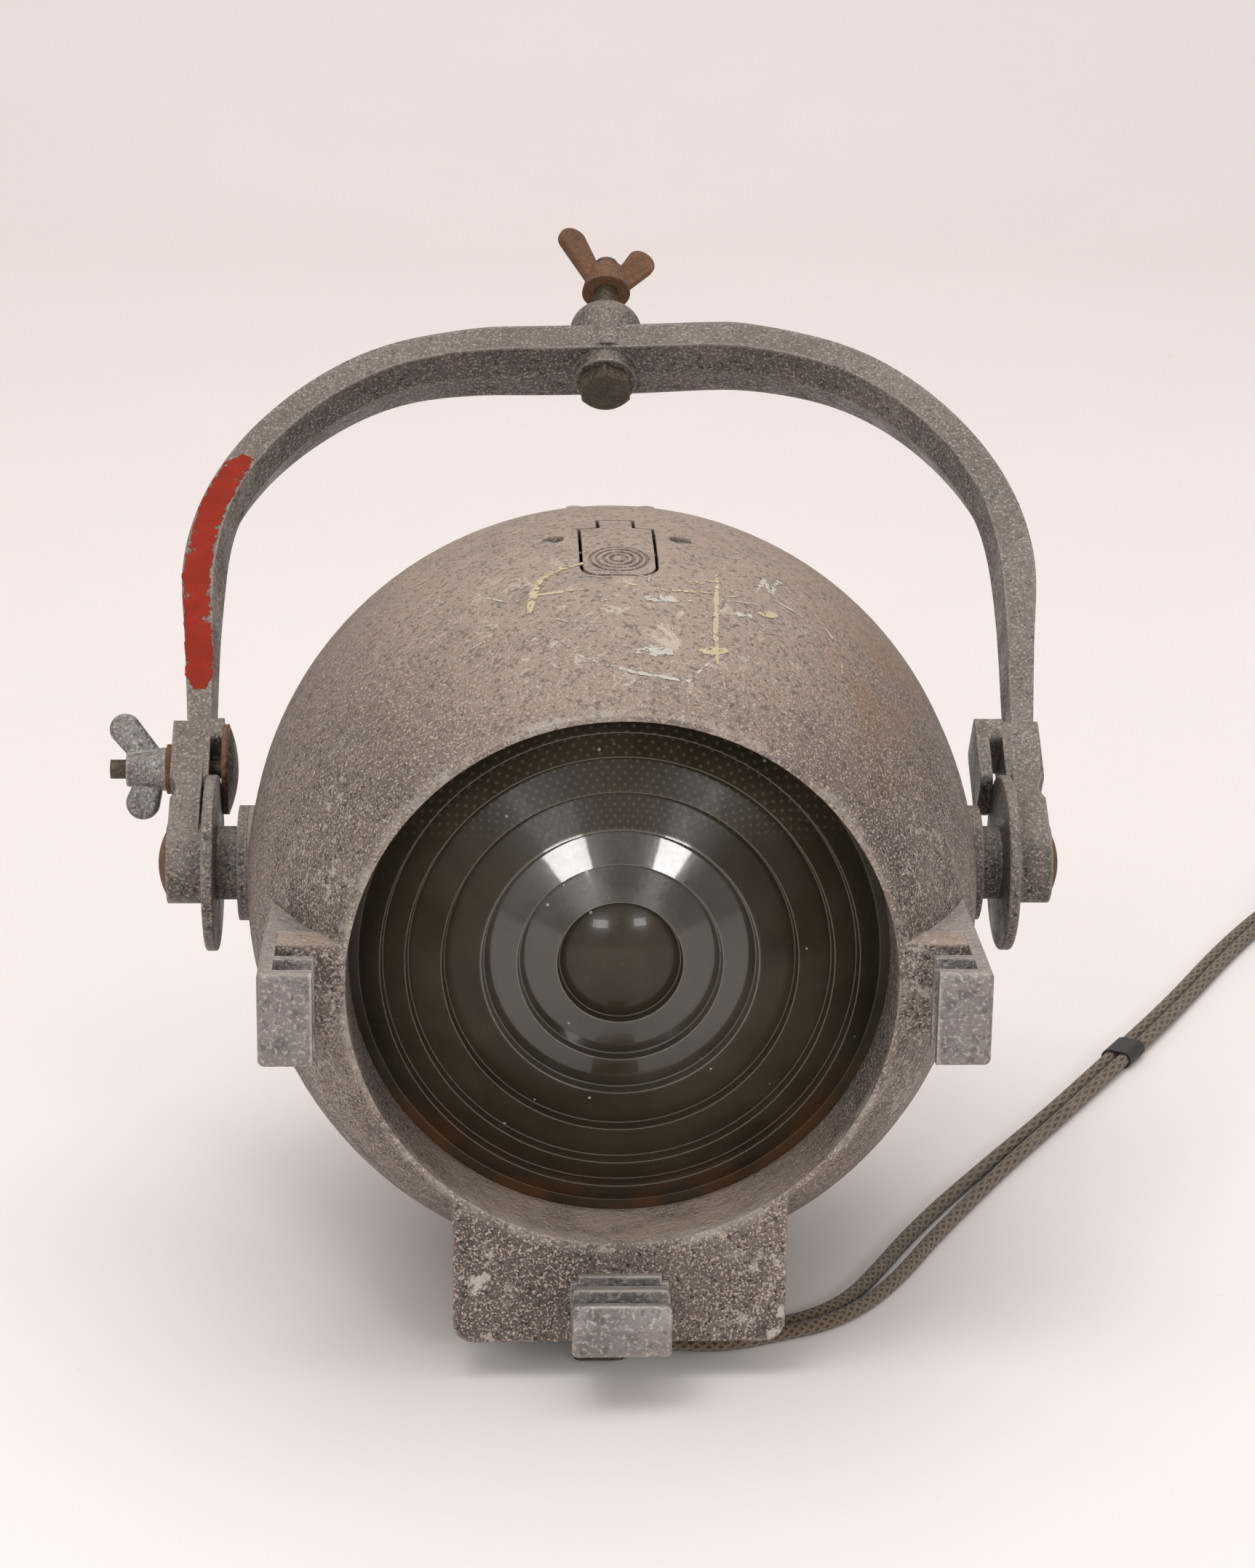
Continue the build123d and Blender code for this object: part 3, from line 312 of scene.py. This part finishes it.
dark = cast_metal(
    "dark_steel", (0.060, 0.046, 0.032), (0.115, 0.087, 0.058), (0.17, 0.12, 0.08),
    pits=0.5, specks=0.25, dust=0.4, wear=0.5, roughness=0.5, metallic=0.5, grain=1.1)
SLOT_LOOK = {
    "body_casting": body,
    "gear_casting": gear,
    "rusty_steel": rust,
    "dark_steel": dark,
    "plain_steel": worn("plain_steel", (0.42, 0.40, 0.38), 0.4, 0.9),
    "cast_wing_nut": alloy,
    "tungsten": worn("tungsten", (0.30, 0.30, 0.31), 0.4, 1.0, 900),
    "brass": worn("brass", (0.62, 0.42, 0.17), 0.36, 0.9),
    "ceramic": worn("ceramic", (0.80, 0.76, 0.68), 0.22, 0.0, 60, 0.06, 0.0001),
    "mirror": worn("mirror_metal", (0.85, 0.85, 0.86), 0.10, 1.0, 120, 0.05, 0.00003),
    "moulded_black": worn("moulded_black", (0.028, 0.024, 0.020), 0.38, 0.0, 420, 0.2, 0.0001),
    "fibre": worn("fibre", (0.40, 0.33, 0.25), 0.85, 0.0, 700, 0.3, 0.0002),
    "dark_sleeve": worn("dark_sleeve", (0.022, 0.019, 0.016), 0.6, 0.0, 900, 0.3, 0.0002),
}


DOTS_AROUND = 110.0
DOT_ROWS = 2100.0


def lens_look():
    """Dark dusty glass with rust at its lower rim and white dust specks."""
    material, tree, shader, place = new_material("lens_glass", 0.16, 0.0)
    x, y, z = axes(tree, place)
    cloud = noise(tree, place, 26, 5, 0.6, 0.5)
    color = mix(tree, step_map(tree, cloud, 0.3, 0.7), (0.028, 0.020, 0.012), (0.047, 0.035, 0.023))
    across = off_axis(tree, x, z)
    low = times(tree, step_map(tree, across, 0.060, 0.0715), step_map(tree, z, 0.098, 0.066))
    low = times(tree, low, step_map(tree, noise(tree, place, 70, 4, 0.6), 0.42, 0.60))
    color = mix(tree, times(tree, low, 0.6), color, (0.085, 0.036, 0.014))
    bearing = calc(tree, "ARCTAN2", x, calc(tree, "SUBTRACT", z, LENS_Z))
    turn = calc(tree, "SINE", times(tree, bearing, DOTS_AROUND))
    row = calc(tree, "COSINE", times(tree, across, DOT_ROWS))
    dots = step_map(tree, times(tree, turn, row), 0.5, 0.8)
    dots = times(tree, dots, step_map(tree, z, 0.148, 0.156))
    color = mix(tree, times(tree, dots, 0.2), color, (0.24, 0.20, 0.16))
    cells = add(tree, "TexVoronoi", None, Vector=place, Scale=150.0).outputs["Distance"]
    specks = step_map(tree, cells, 0.075, 0.045)
    dusty = times(tree, specks, step_map(tree, noise(tree, place, 48, 2), 0.50, 0.62))
    color = mix(tree, times(tree, dusty, 0.7), color, (0.55, 0.50, 0.44))
    ridges = edge_mask(tree, 0.0006, 0.93, 0.99)
    color = mix(tree, times(tree, ridges, 0.55), color, (0.30, 0.25, 0.20))
    tree.links.new(color, shader.inputs["Base Color"])
    shader.inputs["IOR"].default_value = 1.5
    shader.inputs["Coat Roughness"].default_value = 0.05
    clean = times(tree, step_map(tree, across, 0.0390, 0.0378),
                  step_map(tree, across, 0.0165, 0.0175, 0.25, 1.0))
    tree.links.new(step_map(tree, clean, 0.0, 1.0, 0.02, 0.9), shader.inputs["Coat Weight"])
    tree.links.new(step_map(tree, clean, 0.0, 1.0, 0.16, 0.5), shader.inputs["Specular IOR Level"])
    grain = noise(tree, place, 900, 2)
    haze = plus(tree, cloud, times(tree, grain, 0.3))
    tree.links.new(step_map(tree, haze, 0.4, 0.85, 0.14, 0.34), shader.inputs["Roughness"])
    bumps(tree, shader, plus(tree, cloud, times(tree, grain, 0.05)), 0.0004, 0.35, 0.0005)
    return material


def clear_glass():
    """The lamp's clear bulb."""
    material, tree, shader, place = new_material("lamp_glass", 0.04, 0.0)
    tone = step_map(tree, noise(tree, place, 60), 0.3, 0.7)
    shade = mix(tree, tone, (0.88, 0.88, 0.86), (0.96, 0.96, 0.94))
    tree.links.new(shade, shader.inputs["Base Color"])
    shader.inputs["Transmission Weight"].default_value = 0.92
    shader.inputs["IOR"].default_value = 1.47
    return material


STRANDS_ALONG = 2400.0
STRANDS_AROUND = 37.70


def braid_look():
    """Woven brown sleeve: two families of strands that cross on the cord, from its own length coordinates."""
    material, tree, shader, place = new_material("braid", 0.85, 0.0)
    uv = add(tree, "TexCoord").outputs["UV"]
    along, around = axes(tree, uv)[:2]
    lengthwise = times(tree, along, STRANDS_ALONG)
    turning = times(tree, around, STRANDS_AROUND)
    left = calc(tree, "SINE", plus(tree, lengthwise, turning))
    right = calc(tree, "SINE", calc(tree, "SUBTRACT", lengthwise, turning))
    weave = calc(tree, "MAXIMUM", left, right)
    fuzz = noise(tree, place, 1400, 3, 0.7)
    color = mix(tree, step_map(tree, weave, -0.4, 0.9), (0.038, 0.024, 0.012), (0.165, 0.112, 0.064))
    color = mix(tree, step_map(tree, fuzz, 0.5, 0.75, 0.0, 0.5), color, (0.30, 0.22, 0.145))
    dirt = step_map(tree, noise(tree, place, 60, 4, 0.7), 0.5, 0.7, 0.0, 0.35)
    color = mix(tree, dirt, color, (0.22, 0.17, 0.13))
    tree.links.new(color, shader.inputs["Base Color"])
    shader.inputs["Sheen Weight"].default_value = 0.25
    bumps(tree, shader, plus(tree, weave, times(tree, fuzz, 0.6)), 0.0004, 0.8)
    return material


braid = braid_look()
SLOT_LOOK["lens_glass"] = lens_look()
SLOT_LOOK["lamp_glass"] = clear_glass()
SLOT_LOOK["braid"] = braid
for part in frame["record"]["subparts"]:
    paint([part["node"]], SLOT_LOOK[part["material_slot"]])
paint(["side_runner_right", "side_runner_left", "lower_runner"], runner_metal)
paint(["latch_tongue"], body)

for name, points, radius, side, hidden in (
    ("tail_front_braid", TAIL_FRONT, 22.7, -1, ("tail_front", "tail_coil")),
    ("tail_back_braid", TAIL_BACK, 27.3, 1, ("tail_back", "tail_ends")),
):
    route = tail_route(points, radius, side)
    tail = cord_curve(name, route, TAIL_D)
    tail.data.materials.append(braid)
    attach(tail, "housing")
    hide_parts(*hidden)


# ---- paint and chalk left on the castings ----
BALL_R = 106.0
NOSE = 137.0
GIRTH = 12.0
AXIS_Z = 115.1
TILT_AXIS_Z = 115.5
LEAN = radians(54)
ARM_FOOT = 40
ARM_BEND = 110
ARM_SPAN = 70
FOOT_DEPTH = 9.4
BEND_DEPTH = 10.4
CROWN_GAIN = 0.8
FILM = 0.0003
EDGE_LIFT = 0.14
CREST_LIFT = 0.18
SCRATCHES = 44


def on_ball(x, y, lift):
    """The point of the ball's upper surface above (x, y), lifted off it, in millimetres."""
    ahead = min(0.0, y + GIRTH)
    height = max(0.0, 1 - (x / BALL_R) ** 2 - (ahead / NOSE) ** 2) ** 0.5 * BALL_R
    normal = Vector((x / BALL_R**2, ahead / NOSE**2, height / BALL_R**2)).normalized()
    return Vector((x, y, AXIS_Z + height)) + normal * lift


def on_yoke(x, out, lift):
    """A point on the front face of the yoke, lifted off it, in millimetres."""
    if out < ARM_BEND:
        depth = FOOT_DEPTH + (out - ARM_FOOT) / ARM_SPAN
    else:
        depth = BEND_DEPTH + (out - ARM_BEND) * CROWN_GAIN / ARM_SPAN
    depth += lift
    back = out * sin(LEAN) - depth * cos(LEAN)
    return Vector((x, back, TILT_AXIS_Z + out * cos(LEAN) + depth * sin(LEAN)))


def ragged(number, seed):
    """A repeatable unevenness between -1 and 1."""
    slow = 0.5 * sin(number * 1.7 + seed * 2.3)
    middle = 0.3 * sin(number * 4.1 + seed)
    quick = 0.2 * sin(number * 9.7 + seed * 5.1)
    return slow + middle + quick


def stroke(work, points, width, seed, surface):
    """Adds a ragged stroke along points, three vertices across."""
    path = [Vector(p) for p in points]
    fine = []
    for a, b in zip(path, path[1:]):
        count = max(2, int((b - a).length / 1.0))
        fine += [a.lerp(b, i / count) for i in range(count)]
    fine.append(path[-1])
    rows = []
    sides = work.loops.layers.uv.verify()
    for number, place in enumerate(fine):
        after = fine[min(number + 1, len(fine) - 1)]
        before = fine[max(number - 1, 0)]
        along = (after - before).normalized()
        across = Vector((-along.y, along.x))
        taper = min(1.0, 0.45 + number * 0.1, 0.45 + (len(fine) - 1 - number) * 0.1)
        row = []
        for side in (-1, 0, 1):
            half = width / 2 * taper * (1 + 0.10 * ragged(number * 0.4, seed + side))
            spot = place + across * side * half
            row.append(work.verts.new(surface(spot.x, spot.y, EDGE_LIFT if side else CREST_LIFT) / 1000))
        rows.append(row)
    for first, second in zip(rows, rows[1:]):
        for i in (0, 1):
            face = work.faces.new((first[i], first[i + 1], second[i + 1], second[i]))
            for loop in face.loops:
                loop[sides].uv = (0.0, float((first if loop.vert in first else second).index(loop.vert) - 1))


def finish_marks(name, work, material, body_name):
    """Turns the strokes into a thin film that rides on a body."""
    bmesh.ops.recalc_face_normals(work, faces=work.faces)
    mesh = bpy.data.meshes.new(name)
    work.to_mesh(mesh)
    work.free()
    obj = bpy.data.objects.new(name, mesh)
    bpy.context.collection.objects.link(obj)
    mesh.materials.append(material)
    thick = obj.modifiers.new("film", "SOLIDIFY")
    thick.thickness = FILM
    thick.offset = -1.0
    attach(obj, body_name)


def old_paint(name, color, cover, fade=0.12):
    """Old paint or chalk, broken up and fading out at its edges."""
    material, tree, shader, place = new_material(name, 0.65, 0.0)
    shader.inputs["Specular IOR Level"].default_value = 0.2
    flecks = noise(tree, place, 520, 5, 0.75, 0.5)
    broad = noise(tree, place, 110, 4, 0.6)
    both = plus(tree, times(tree, flecks, 0.55), times(tree, broad, 0.45))
    across = axes(tree, add(tree, "TexCoord").outputs["UV"])[1]
    edge = calc(tree, "POWER", calc(tree, "ABSOLUTE", across), 4.0)
    both = plus(tree, both, times(tree, edge, fade))
    shade = mix(tree, step_map(tree, broad, 0.3, 0.7), [0.75 * v for v in color], color)
    tree.links.new(shade, shader.inputs["Base Color"])
    tree.links.new(step_map(tree, both, cover + 0.03, cover - 0.03), shader.inputs["Alpha"])
    return material


yellow = bmesh.new()
for seed, (width, points) in enumerate((
    (3.4, [(-25, -68), (-24, -60), (-22, -52), (-16, -48), (-10, -46)]),
    (1.6, [(-24, -60), (-17, -61), (-10, -61)]),
    (1.5, [(1, -59), (13, -61), (25, -58)]),
    (1.7, [(27, -46), (26, -63), (25, -77), (25, -88)]),
    (3.6, [(19, -55), (26, -51)]),
    (4.0, [(19, -86), (28, -82)]),
    (4.4, [(38, -61), (43, -57)]),
)):
    stroke(yellow, points, width, seed, on_ball)
finish_marks("chalk_yellow", yellow, old_paint("chalk_yellow", (0.60, 0.51, 0.33), 0.53), "housing")
white = bmesh.new()
for seed, (width, points) in enumerate((
    (5.0, [(6, -66), (13, -65), (19, -64)]),
    (5.0, [(29, -67), (36, -63)]),
    (5.0, [(3, -88), (13, -87)]),
    (1.5, [(38, -49), (41, -38), (42, -48), (45, -34), (48, -39)]),
    (1.1, [(41, -49), (52, -51)]),
    (1.1, [(59, -36), (66, -32)]),
    (1.1, [(56, -47), (62, -57)]),
    (1.2, [(-13, -88), (-6, -92), (2, -95), (9, -96), (17, -96), (23, -88)]),
    (1.0, [(-38, -52), (-31, -60)]),
    (0.9, [(-52, -40), (-44, -52)]),
    (0.9, [(-58, -20), (-50, -22)]),
)):
    stroke(white, points, width, seed + 10, on_ball)
for number in range(SCRATCHES):
    x = 78 * ragged(number * 3.1, 2) + 8
    y = -52 + 38 * ragged(number * 2.3, 5)
    heading = 2.2 * ragged(number * 1.9, 8) + (0.9 if x > 0 else 2.4)
    length = 3 + 6 * abs(ragged(number * 5.3, 1))
    far = (x + length * cos(heading), y + length * sin(heading))
    if x * x + (y * 0.8) ** 2 < 8000:
        stroke(white, [(x, y), far], 0.7, number, on_ball)
finish_marks("chalk_white", white, old_paint("chalk_white", (0.60, 0.56, 0.50), 0.51), "housing")
red = bmesh.new()
RED_BAND = [(-123.4, 58), (-124.4, 75), (-125.4, 88), (-126.6, 103), (-125.2, 118), (-122.0, 133),
            (-116.6, 146), (-112.6, 152)]
stroke(red, RED_BAND, 8.4, 3, on_yoke)
finish_marks("red_paint_band", red, old_paint("red_paint", (0.29, 0.017, 0.003), 0.585, 0.08), "yoke")


# ---- stage ----
FLOOR_FRONT = -3.0
WALL_FOOT = 2.0
WALL_TOP = 4.0
SWEEP_RADIUS = 1.2
SWEEP_STEPS = 16
HALF_WIDTH = 4.0


def paper(name, color, scuffs):
    """Backdrop paper with faint clouds and scuffs."""
    material, tree, shader, place = new_material(name, 0.85, 0.0)
    soft = noise(tree, place, 3.0, 6, 0.65)
    marks = noise(tree, place, 60, 6, 0.8, 1.5)
    shade = mix(tree, step_map(tree, soft, 0.3, 0.7), [0.985 * v for v in color], color)
    shade = mix(tree, step_map(tree, marks, 0.66, 0.74, 0.0, scuffs), shade, (0.52, 0.44, 0.36))
    tree.links.new(shade, shader.inputs["Base Color"])
    return material


def sweep_stage():
    """A floor that curves up into a backdrop."""
    rows = [(FLOOR_FRONT, 0.0), (WALL_FOOT, 0.0)]
    for step in range(1, SWEEP_STEPS + 1):
        angle = radians(90) * step / SWEEP_STEPS
        rows.append((WALL_FOOT + SWEEP_RADIUS * sin(angle), SWEEP_RADIUS * (1 - cos(angle))))
    rows.append((WALL_FOOT + SWEEP_RADIUS, WALL_TOP))
    verts = [(x, y, z) for y, z in rows for x in (-HALF_WIDTH, HALF_WIDTH)]
    faces = [(2 * i, 2 * i + 1, 2 * i + 3, 2 * i + 2) for i in range(len(rows) - 1)]
    mesh = bpy.data.meshes.new("backdrop")
    mesh.from_pydata(verts, [], faces)
    mesh.polygons.foreach_set("use_smooth", [True] * len(mesh.polygons))
    obj = bpy.data.objects.new("backdrop", mesh)
    bpy.context.collection.objects.link(obj)
    mesh.materials.append(paper("backdrop_paper", (0.865, 0.81, 0.785), 0.45))


sweep_stage()


def area_light(name, location, target, size, power):
    """A white rectangular light that faces its target."""
    data = bpy.data.lights.new(name, "AREA")
    data.shape = "RECTANGLE"
    data.size, data.size_y = size
    data.energy = power
    light = bpy.data.objects.new(name, data)
    light.location = location
    direction = Vector(target) - Vector(location)
    light.rotation_euler = direction.to_track_quat("-Z", "Y").to_euler()
    bpy.context.collection.objects.link(light)


area_light("softbox_left", (-0.50, -1.62, 0.66), (-0.016, -0.085, 0.146), (0.44, 0.22), 5.4)
area_light("softbox_right", (0.60, -1.58, 0.70), (0.014, -0.085, 0.146), (0.34, 0.22), 4.6)
area_light("key", (-0.6, -0.7, 1.8), (0, 0, 0.1), (0.9, 0.9), 9.5)
area_light("top", (0.3, 0.3, 2.0), (0, 0, 0.1), (1.6, 1.6), 12)
area_light("backdrop_light", (0, 2.1, 2.3), (0, 2.5, 0), (4.0, 1.4), 14)
world = bpy.data.worlds.new("world")
world.use_nodes = True
world.node_tree.nodes["Background"].inputs["Color"].default_value = (0.94, 0.89, 0.865, 1)
world.node_tree.nodes["Background"].inputs["Strength"].default_value = 0.64
bpy.context.scene.world = world
bpy.context.scene.view_settings.view_transform = "Standard"
